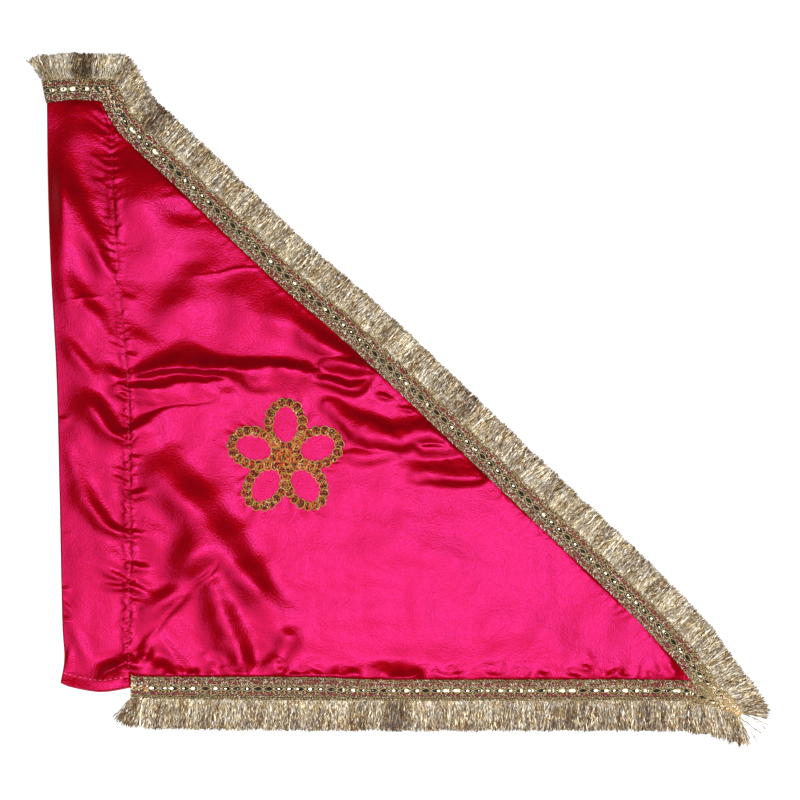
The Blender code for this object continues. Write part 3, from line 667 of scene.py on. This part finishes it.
# Gold yarns
def yarnMaterial(name, stops, metallic, roughness):
    # Metallised yarn: the shade given to each strand runs through the ramp, whose dark end paints
    # shade and whose pale end paints highlights.
    material = emptyMaterial(name)
    shade = addNode(material, "ShaderNodeAttribute", {"attribute_name": "shade"})
    ramp = addNode(material, "ShaderNodeValToRGB", links={"Fac": (shade, "Fac")})
    elements = ramp.color_ramp.elements
    while len(elements) < len(stops):
        elements.new(0.5)
    for element, (position, code) in zip(elements, stops):
        element.position, element.color = position, linear(code)
    # Tufts about 6 mm across are browner or greyer than the rest.
    place = addNode(material, "ShaderNodeTexCoord")
    noise = addNode(material, "ShaderNodeTexNoise", {"Scale": 160.0, "Detail": 3.0},
                    {"Vector": (place, "Object")})
    warmth = addNode(material, "ShaderNodeMapRange",
                     {"From Min": 0.35, "From Max": 0.65, "To Min": 0.78, "To Max": 1.3},
                     {"Value": (noise, "Fac")})
    tone = addNode(material, "ShaderNodeHueSaturation", links={
        "Color": (ramp, "Color"), "Saturation": (warmth, "Result")})
    shader = addNode(material, "ShaderNodeBsdfPrincipled", {
        "Metallic": metallic, "Roughness": roughness}, {"Base Color": (tone, "Color")})
    return finishMaterial(material, shader)


def plainMaterial(name, code, metallic, roughness, spread=0.28):
    # A single tone, broken up so that it never looks painted. Its grains are about 1 mm, which
    # is coarser than real filaments.
    material = emptyMaterial(name)
    place = addNode(material, "ShaderNodeTexCoord")
    noise = addNode(material, "ShaderNodeTexNoise", {"Scale": 900.0, "Detail": 2.0},
                    {"Vector": (place, "Object")})
    value = addNode(material, "ShaderNodeMapRange", {"To Min": 1 - spread, "To Max": 1 + spread},
                    {"Value": (noise, "Fac")})
    tone = addNode(material, "ShaderNodeHueSaturation", {"Color": linear(code)},
                   {"Value": (value, "Result")})
    shader = addNode(material, "ShaderNodeBsdfPrincipled", {
        "Metallic": metallic, "Roughness": roughness}, {"Base Color": (tone, "Color")})
    return finishMaterial(material, shader)


# Cut metallic yarn: the ramp paints shade brown in its depths and paints highlights nearly white
# where it would catch the light.
fringeYarn = yarnMaterial("metallised fringe yarn", (
    (0.0, "#2c1808"), (0.25, "#5e4326"), (0.5, "#968669"), (0.75, "#ccbfa5"), (1.0, "#fff8e6")),
    0.35, 0.48)
# The tape shows as dark gold-brown between its stitches.
tapeYarn = plainMaterial("woven tape", "#1c0f07", 0.1, 0.7)
# The main gold thread of the heading.
goldYarn = plainMaterial("gold thread", "#c0a572", 0.55, 0.4)
# A pale thread, whose stitches show as small light flecks that partly stand for painted
# highlights. The same material paints the highlights on discs and at the chain's crossings.
paleThreadAndPaintedGlints = plainMaterial("pale gold thread and painted highlights", "#f4e8cc", 0.3, 0.35)
# Red thread that shows as specks between the gold.
redYarn = plainMaterial("red thread", "#a82a34", 0.1, 0.5)
# Small mirrored discs that show either the bright lamp or the dark room.
foil = plainMaterial("mirrored foil", "#b8ab90", 1.0, 0.12)

# Trim
trimLook = {
    "width": 16.0,
    "thickness": 0.9,
    "stitchPitch": 1.15,
    "chainPitch": 7.4,
    "chainAt": 8.0,
    "chainSwing": 1.7,
    "cordRadius": 0.24,
    "discSides": 9,
}

# Rows of stitches across a heading: distance from its inner edge, length, width, turn in
# degrees, and the shares of gold, pale and red thread.
slantRows = (
    (0.7, 2.0, 0.6, 40, (0.55, 0.3, 0.15)), (1.8, 2.0, 0.6, -45, (0.5, 0.3, 0.2)),
    (2.9, 2.0, 0.65, 48, (0.4, 0.2, 0.4)), (4.0, 2.0, 0.65, -48, (0.4, 0.2, 0.4)),
    (5.1, 1.9, 0.6, 35, (0.65, 0.35, 0.0)), (10.9, 1.9, 0.6, -35, (0.7, 0.3, 0.0)),
    (11.9, 2.0, 0.75, 52, (0.35, 0.1, 0.55)), (12.9, 2.0, 0.7, -48, (0.5, 0.1, 0.4)),
    (14.0, 2.0, 0.7, 42, (0.8, 0.2, 0.0)), (15.1, 2.0, 0.7, -42, (0.75, 0.25, 0.0)),
)
bottomRows = (
    (0.6, 1.8, 0.55, 35, (0.75, 0.15, 0.1)), (1.6, 1.8, 0.55, -42, (0.65, 0.15, 0.2)),
    (2.6, 1.9, 0.6, 45, (0.55, 0.15, 0.3)), (3.6, 1.9, 0.6, -52, (0.4, 0.15, 0.45)),
    (4.6, 1.9, 0.65, 70, (0.4, 0.15, 0.45)), (5.6, 1.7, 0.55, 30, (0.65, 0.35, 0.0)),
    (10.8, 1.9, 0.65, -50, (0.5, 0.05, 0.45)), (11.9, 1.9, 0.65, 48, (0.6, 0.0, 0.4)),
    (13.1, 1.9, 0.6, -42, (0.85, 0.1, 0.05)), (14.3, 1.9, 0.6, 42, (0.85, 0.15, 0.0)),
    (15.4, 1.7, 0.55, -35, (0.8, 0.2, 0.0)),
)


def stripPlace(edge, roots, share, across):
    # Places on a heading, at shares of its length and of its width.
    a, b = placeAt(edge, share), placeAt(roots, share)
    return a + (b - a) * np.asarray(across)[..., None]


def headingParts(edge, roots, rows, base, chainShares, seed, paintedGlintShare, paintedGlintSizes):
    pick = np.random.default_rng(seed)
    length = lengthsAlong(edge)[-1]
    width = trimLook["width"]
    top = base + trimLook["thickness"]
    # The tape, slightly domed, with its inner edge turned down onto the satin
    shares = np.linspace(0, 1, max(int(length / 2.0), 8))
    profile = ((0.0, base - 0.5), (0.01, top - 0.35), (0.25, top), (0.5, top + 0.1), (0.75, top),
               (0.98, top - 0.3), (1.0, base - 0.6))
    grid = np.stack([raised(stripPlace(edge, roots, shares, across), height)
                     for across, height in profile], axis=1)
    k = np.arange(grid.shape[0] * grid.shape[1]).reshape(grid.shape[:2])
    faces = np.stack([k[:-1, :-1], k[1:, :-1], k[1:, 1:], k[:-1, 1:]], axis=-1).reshape(-1, 4)
    parts = [(grid, faces, 0)]

    # Stitches in rows
    grainShape = grain()
    for offset, long, wide, turn, threadShares in rows:
        count = int(length / trimLook["stitchPitch"])
        share = (np.arange(count) + pick.uniform(0.3, 0.7, count)) / count
        across = np.clip(offset / width + pick.normal(0, 0.012, count), 0.02, 0.985)
        centres = raised(stripPlace(edge, roots, share, across),
                         top + 0.18 + pick.uniform(-0.15, 0.2, count))
        turns = wayAt(edge, share) - np.radians(turn + pick.normal(0, 14, count))
        sizes = np.column_stack([0.9 * long * pick.uniform(0.8, 1.2, count),
                                 0.95 * wide * pick.uniform(0.8, 1.2, count), np.full(count, 0.6)])
        tilts = pick.normal(0, 0.25, count)
        which = pick.choice(3, count, p=threadShares)
        which[(share > 0.92) & (which == 2)] = 0
        parts += stampedByKind(grainShape, which + 1, centres, turns, sizes, tilts)

    # Chain: two cords that cross between mirrored discs, and plain weave beyond its ends
    first, last = chainShares
    pitch = trimLook["chainPitch"]
    links = int((last - first) * length / pitch)
    last = first + links * pitch / length
    count = int(length * (first + 1 - last) * 4 / trimLook["stitchPitch"])
    share = pick.uniform(0, first + 1 - last, count)
    share = np.where(share > first, share - first + last, share)
    place = stripPlace(edge, roots, share, pick.uniform(0.38, 0.63, count))
    turns = wayAt(edge, share) + pick.choice((-0.7, 0.7), count)
    which = pick.choice(3, count, p=(0.6, 0.25, 0.15))
    parts += stampedByKind(grainShape, which + 1, raised(place, top + 0.2), turns,
                           np.broadcast_to((1.8, 0.9, 0.6), (count, 3)))
    at = trimLook["chainAt"] / width
    centre = first + (np.arange(links) + 0.5) * pitch / length
    place, way = stripPlace(edge, roots, centre, at), wayAt(edge, centre)
    along = np.linspace(0, links, links * 10 + 1)
    for start in (0, 1):
        swing = trimLook["chainSwing"] * np.sin(math.pi * (along + start))
        middle = stripPlace(edge, roots, first + along * pitch / length,
                            (trimLook["chainAt"] + swing) / width)
        middle = middle + pick.normal(0, 0.09, middle.shape)
        rise = top + 0.62 + 0.25 * np.cos(math.pi * (along + start) * 2) * (1 if start else -1)
        parts.append((*cord(raised(middle, rise), trimLook["cordRadius"]), 1))
    crossing = first + (np.arange(links) + 1) * pitch / length
    # At each crossing the middle knot is a pale grain, a painted highlight; the knots round it are
    # gold.
    for off, long, lean, kind in ((0, 1.5, 0.0, 2), (-2.2, 2.3, 0.8, 1), (2.2, 2.3, -0.8, 1),
                                  (-1.5, 2.0, -0.5, 1), (1.5, 2.0, 0.5, 1)):
        knots = stripPlace(edge, roots, crossing, at + off / width)
        made = stamped(grainShape, raised(knots, top + 0.7 - 0.1 * abs(off)),
                       way + lean + pick.normal(0, 0.3, links), (long, 0.8, 0.8))
        parts.append((*made, kind))

    # Mirrored discs, and on some of them pale chips that are painted highlights
    sides = trimLook["discSides"]
    turn = 2 * math.pi * np.arange(sides) / sides
    disc = (np.vstack([(0, 0, 0.25), raised(pointing(turn), 0.0)]),
            np.array([(0, 1 + k, 1 + (k + 1) % sides) for k in range(sides)]))
    sizes = np.column_stack([pick.uniform(1.9, 2.5, links), pick.uniform(1.25, 1.5, links),
                             np.full(links, 1.0)])
    tilts = pick.uniform(0.3, 0.5, links) * pick.choice((-1, 1), links, p=(0.2, 0.8))
    parts.append((*stamped(disc, raised(place, top + 0.5), way, sizes, tilts), 4))
    # Painted highlights: pale chips where a disc's face would catch the lamp.
    glintPainted = pick.uniform(size=links) < paintedGlintShare
    shift = pick.uniform(-1.8, 1.8, links)[:, None] * pointing(way)
    sizes = pick.uniform(*paintedGlintSizes, (links, 1)) * np.array([[1.7, 1.0, 0.3]])
    tilts = pick.uniform(-0.05, 0.05, links)
    made = stamped(disc, raised(place + shift, top + 0.95)[glintPainted], way[glintPainted], sizes[glintPainted],
                   tilts[glintPainted])
    parts.append((*made, 2))
    return parts


def headingPiece(name, node, *settings):
    points, faces, numbers = joined(headingParts(*settings))
    obj = meshObject(name, points, faces, [tapeYarn, goldYarn, paleThreadAndPaintedGlints, redYarn, foil], numbers)
    return addPiece(obj, "trim", node)


# Each heading: its two edges, rows of stitches, height of its underside, where its chain starts
# and ends as shares of its length, seed, and how many links have a painted highlight chip and of
# what sizes.
slantHeading = headingPiece(
    "slant_heading", "slant_trim", np.vstack([slantEdge, (237.2, -221.6)]), slantRoots,
    slantRows, 1.5, (0.035, 0.955), 21, 0.7, (0.3, 0.85))
bottomHeading = headingPiece(
    "bottom_heading", "bottom_trim",
    np.vstack([bottomEdge[:-1], (203.0, -198.2), (237.4, -220.8)]), bottomRoots,
    bottomRows, 1.5, (0.03, 0.97), 22, 0.85, (0.45, 0.9))
topHeading = headingPiece(
    "top_heading", "top_trim", topEdge, topRoots,
    slantRows, 2.3, (0.0, 0.9), 23, 1.0, (0.9, 1.4))


# Fringe. Smudges are dark places: distance along the roots, reach and depth of tone. Leans are
# shares of the roots' length, each with the direction of the strands there in degrees.
fringeLook = {
    "strandWidth": 0.54,
    "strandSteps": 13,
    "slant_fringe": {
        "strands": 7800, "length": 18.6, "tone": 0.48, "tipTone": -0.08,
        "smudges": ((43, 6, .5), (336, 7, .2)),
        "leans": ((0, 57), (0.05, 47), (0.9, 44), (0.95, 32), (1, -2))},
    "bottom_fringe": {
        "strands": 5800, "length": 20.6, "tone": 0.44, "tipTone": -0.14,
        "smudges": ((185, 9, .3), (307, 8, .2), (358, 5, .18)),
        "leans": ((0, -120), (0.04, -96), (0.5, -92), (0.9, -89), (1, -77))},
    "top_fringe": {
        "strands": 1050, "length": 17.2, "tone": 0.52, "tipTone": 0.0,
        "smudges": ((28, 7, .4),),
        "leans": ((0, 112), (0.25, 97), (0.6, 88), (1, 64))},
}


def fringePiece(name, node, roots, base, seed):
    look, steps = fringeLook[name], fringeLook["strandSteps"]
    pick = np.random.default_rng(seed)
    count = look["strands"]
    share = np.clip((np.arange(count) + pick.uniform(0, 1, count)) / count, 0, 1)
    root = placeAt(roots, share)
    along = share * lengthsAlong(roots)[-1]
    clump = np.sin(along / 1.9 + 2.0 * np.sin(along / 7.3)) + 0.8 * np.sin(along / 0.9 + 1.0)
    leans = np.array(look["leans"], float)
    angle = np.radians(np.interp(share, leans[:, 0], leans[:, 1]) + 2.2 * clump
                       + pick.normal(0, 9.0, count))
    stray = pick.uniform(size=count) < 0.004 + 0.3 * (share > 0.99)
    angle = np.where(stray, angle + pick.normal(0, 0.5, count), angle)
    way = pointing(angle)
    side = np.column_stack([-way[:, 1], way[:, 0]])
    long = look["length"] * np.clip(pick.normal(0.975, 0.05, count), 0.6, 1.05)
    long = long * (1 + 0.02 * np.sin(along / 3.1 + 1.7 * np.sin(along / 11.0)))
    down = np.linspace(-0.06, 1.0, steps)[None, :, None]
    bend = (pick.normal(0, 0.05, count) * long)[:, None, None]
    flat = (root[:, None, :] + way[:, None, :] * down * long[:, None, None]
            + side[:, None, :] * (down ** 2 * bend + pick.normal(0, 0.2, (count, steps, 1))))
    level = pick.uniform(0.35, 1.5, count)[:, None]
    height = level + (1 - smoothStep(0.05, 0.5, down[..., 0])) * (base + 0.5 - level)
    height = np.maximum(height + pick.normal(0, 0.08, (count, steps)), 0.3)
    widths = fringeLook["strandWidth"] * pick.uniform(0.6, 1.3, (count, steps))
    widths[:, -1] *= 0.5
    points, faces = ribbons(np.concatenate([flat, height[..., None]], axis=2), widths,
                            pick.normal(0, 0.6, (count, steps)))
    tone = (look["tone"] + pick.normal(0, 0.2, count) + 0.06 * np.sin(along / 4.1 + 3)
            + 0.05 * np.sin(along / 1.7 + 2 * np.sin(along / 5.0)))
    for place, wide, depth in look["smudges"]:
        tone = tone - depth * np.exp(-((along - place) / wide) ** 2)
    # Tone that changes from step to step along a strand paints the glints and shade of its
    # crinkles.
    shade = tone[:, None] + look["tipTone"] * down[..., 0] + pick.normal(0, 0.19, (count, steps))
    shade = np.repeat(np.clip(shade, 0, 1).ravel(), 2)
    return addPiece(meshObject(name, points, [faces], [fringeYarn], shade=shade), "trim", node)


slantFringe = fringePiece("slant_fringe", "slant_trim", slantRoots, 1.5, 31)
bottomFringe = fringePiece("bottom_fringe", "bottom_trim", bottomRoots, 1.5, 32)
topFringe = fringePiece("top_fringe", "top_trim", topRoots, 2.3, 33)

# Flower of chain braid
flowerLook = {
    "petals": 5,
    "petalCentre": 23.5,
    "halfLong": 15.65,
    "halfWide": 11.75,
    "ringPitch": 5.4,
    "ringWide": 7.8,
    "groundHeight": 1.7,
    "ringHeight": 2.7,
    "rosetteReach": 7.0,
    "rosetteTwists": 150,
}


def aroundFlower(out, turn):
    return np.array(flowerCentre) + np.reshape(out, (-1, 1)) * pointing(turn)


def flowerParts():
    pick = np.random.default_rng(41)
    ringShape, grainShape = torus(14, 4, 0.085), grain()
    pitch = flowerLook["ringPitch"]
    parts = []
    for petal in range(flowerLook["petals"]):
        axis = math.pi / 2 + petal * 2 * math.pi / flowerLook["petals"]
        turn = np.linspace(0, 2 * math.pi, 241)
        along = flowerLook["petalCentre"] + flowerLook["halfLong"] * np.cos(turn)
        wide = flowerLook["halfWide"] * np.sin(turn)
        loop = np.column_stack([
            flowerCentre[0] + along * math.cos(axis) - wide * math.sin(axis),
            flowerCentre[1] + along * math.sin(axis) + wide * math.cos(axis)])
        # The braid's dark ground
        band = placeAt(loop, np.linspace(0, 1, 121))
        for offset, radius in ((-1.7, 1.0), (0.0, 1.05), (1.7, 1.0)):
            line = raised(movedOut(band, offset), flowerLook["groundHeight"])
            parts.append((*cord(line, radius), 0))
        # Its chain of gold rings, with smaller ones between them
        count = round(lengthsAlong(loop)[-1] / pitch)
        share = (np.arange(count) + 0.5) / count
        way = wayAt(loop, share, 0.01)
        size = np.array([[pitch * 1.25, flowerLook["ringWide"], 5.0]])
        for shift in (0.0, 0.5):
            place = placeAt(loop, (share + shift / count) % 1) + pick.normal(0, 0.25, (count, 2))
            made = stamped(ringShape, raised(place, flowerLook["ringHeight"] - 0.3 * shift),
                           way + pick.normal(0, 0.25, count),
                           size * pick.uniform(0.85, 1.08, (count, 1)) * (1 - 0.7 * shift), 0.14)
            parts.append((*made, 1))
        # Red core stitches, short gold twists, and pale grains that are painted highlights
        count = count * 13
        share = pick.uniform(0, 1, count)
        way = wayAt(loop, share, 0.01)
        off = pick.uniform(-3.0, 3.0, count)
        place = placeAt(loop, share) + off[:, None] * np.column_stack([-np.sin(way), np.cos(way)])
        turns = way + pick.choice((-1, 1), count) * pick.uniform(0.5, 1.4, count)
        size = np.column_stack([pick.uniform(1.4, 2.4, count), np.full((count, 2), 0.6)])
        which = pick.choice((2, 1, 3), count, p=(0.62, 0.23, 0.15))
        for kind in (2, 1, 3):
            chosen = which == kind
            height = pick.uniform(2.5, 2.9, chosen.sum()) + (0.25 if kind != 2 else 0)
            made = stamped(grainShape, raised(place[chosen], height), turns[chosen],
                           size[chosen], pick.normal(0, 0.3, chosen.sum()))
            parts.append((*made, kind))
    # A rosette of short twists over the crossing in the middle
    turn = np.linspace(0, 2 * math.pi, 37)
    for radius in (0.8, 2.4, 4.0, 5.6):
        parts.append((*cord(raised(aroundFlower(radius, turn), 1.8), 1.05), 0))
    count, reach = flowerLook["rosetteTwists"], flowerLook["rosetteReach"]
    turn = pick.uniform(0, 2 * math.pi, count)
    out = reach * np.sqrt(pick.uniform(0, 1, count))
    centres = raised(aroundFlower(out, turn), 3.0 + 0.25 * (1 - out / reach))
    for start, kind in ((0, 1), (1, 1), (2, 2)):
        made = stamped(grainShape, centres[start::3], turn[start::3] + math.pi / 2,
                       (2.4, 0.7, 0.7), pick.normal(0, 0.2, len(centres[start::3])))
        parts.append((*made, kind))
    return parts


# The braid's ground shows dark red-brown between the cords.
braidGround = plainMaterial("braid ground", "#4e0c02", 0.0, 0.95)
# Old-gold cord, a little greener than the trim.
braidCord = plainMaterial("braid cord", "#b88a3a", 0.5, 0.36)
# Orange-red core thread.
braidCore = plainMaterial("braid core thread", "#d83a1c", 0.0, 0.6)
# Painted highlights: bright grains set where the cord would turn towards the light.
braidPaintedGlint = plainMaterial("braid painted glint", "#f2e3ae", 0.7, 0.25)
points, faces, numbers = joined(flowerParts())
flower = addPiece(meshObject("chain_flower", points, faces,
                             [braidGround, braidCord, braidCore, braidPaintedGlint], numbers),
                  "braid", "braid_flower")


# Running stitches
def stitchParts():
    pick = np.random.default_rng(51)
    grainShape = grain()
    share = np.arange(0.045, 0.965, satinLook["seamPitch"] / lengthsAlong(seam)[-1])
    share = share + pick.uniform(-0.0006, 0.0006, len(share))
    place = placeAt(seam, share) + np.column_stack([pick.normal(0, 0.12, len(share)), 0 * share])
    height = satinLook["clothHeight"] + reliefAt(place[:, 0], place[:, 1])
    # The puckers of the upper seam close over part of its stitches.
    height = height + pick.uniform(-0.12, 0.2, len(share)) - np.where(place[:, 1] > 90, 0.26, 0.0)
    turns = wayAt(seam, share, 0.003) + pick.normal(0, 0.25, len(share))
    alongSeam = stamped(grainShape, raised(place, height), turns, (1.6, 0.6, 0.6))
    line = mouth + np.array([0, satinLook["hemDepth"] - 1.0])
    share = np.arange(0.08, 0.97, satinLook["mouthPitch"] / lengthsAlong(line)[-1])
    x, y = placeAt(line, share).T
    left, right = acrossAt(foldedSide, y), acrossAt(seam, y)
    height = sleeveTop((x - left) / (right - left), x, y) + 0.1
    alongMouth = stamped(grainShape, np.column_stack([x, y, height]), wayAt(line, share, 0.01),
                         (2.3, 0.5, 0.5))
    return [(*alongSeam, 0), (*alongMouth, 1)]


# Sewing thread: pulled tight and dark along the seam, slacker and paler at the mouth.
seamThread = plainMaterial("seam thread", "#a62048", 0.0, 0.5)
mouthThread = plainMaterial("mouth thread", "#d8587c", 0.0, 0.5)
points, faces, numbers = joined(stitchParts())
stitches = meshObject("running_stitches", points, faces, [seamThread, mouthThread], numbers)
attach(stitches, "root")

# Floor, light and camera
stageLook = {
    "floor": "#f4f4f4",
    "floorReach": 3000.0,
    "lamps": (((1.73, 1.3), (-0.22, -0.51, 1.5), 26.0), ((0.5, 0.42), (0.11, -0.2, 1.5), 12.6),
              ((0.34, 0.48), (-0.36, -0.05, 1.5), 4.4)),
    "world": "#e8ecf2",
    "worldStrength": 0.08,
    "camera": (-0.00105, -0.00175, 1.8667),
    "lens": 120.0,
    "sensor": 36.0,
}
# Smooth pale paper, which shows as even white round the flag.
floorMaterial = plainMaterial("pale paper", stageLook["floor"], 0.0, 0.8, 0.02)
corners = stageLook["floorReach"] * np.array([(-1, -1, 0), (1, -1, 0), (1, 1, 0), (-1, 1, 0)])
floor = meshObject("floor", corners, [np.array([(0, 1, 2, 3)])], [floorMaterial], smooth=False)

# Softboxes overhead, given as size, place and power: a wide one for the whole flag, and two
# smaller ones that give the sheen its brightest parts.
for size, place, power in stageLook["lamps"]:
    lamp = bpy.data.lights.new("softbox", "AREA")
    lamp.shape = "RECTANGLE"
    lamp.size, lamp.size_y = size
    lamp.energy = power
    lampObject = bpy.data.objects.new("softbox", lamp)
    lampObject.location = place
    lampObject.visible_camera = False
    bpy.context.scene.collection.objects.link(lampObject)

world = bpy.data.worlds.new("dim room")
world.use_nodes = True
background = world.node_tree.nodes["Background"]
background.inputs["Color"].default_value = linear(stageLook["world"])
background.inputs["Strength"].default_value = stageLook["worldStrength"]
bpy.context.scene.world = world

cameraData = bpy.data.cameras.new("overhead camera")
cameraData.lens, cameraData.sensor_width = stageLook["lens"], stageLook["sensor"]
camera = bpy.data.objects.new("overhead camera", cameraData)
camera.location = stageLook["camera"]
bpy.context.scene.collection.objects.link(camera)
bpy.context.scene.camera = camera
bpy.context.scene.view_settings.view_transform = "Standard"
print("stage: floor, light and camera")
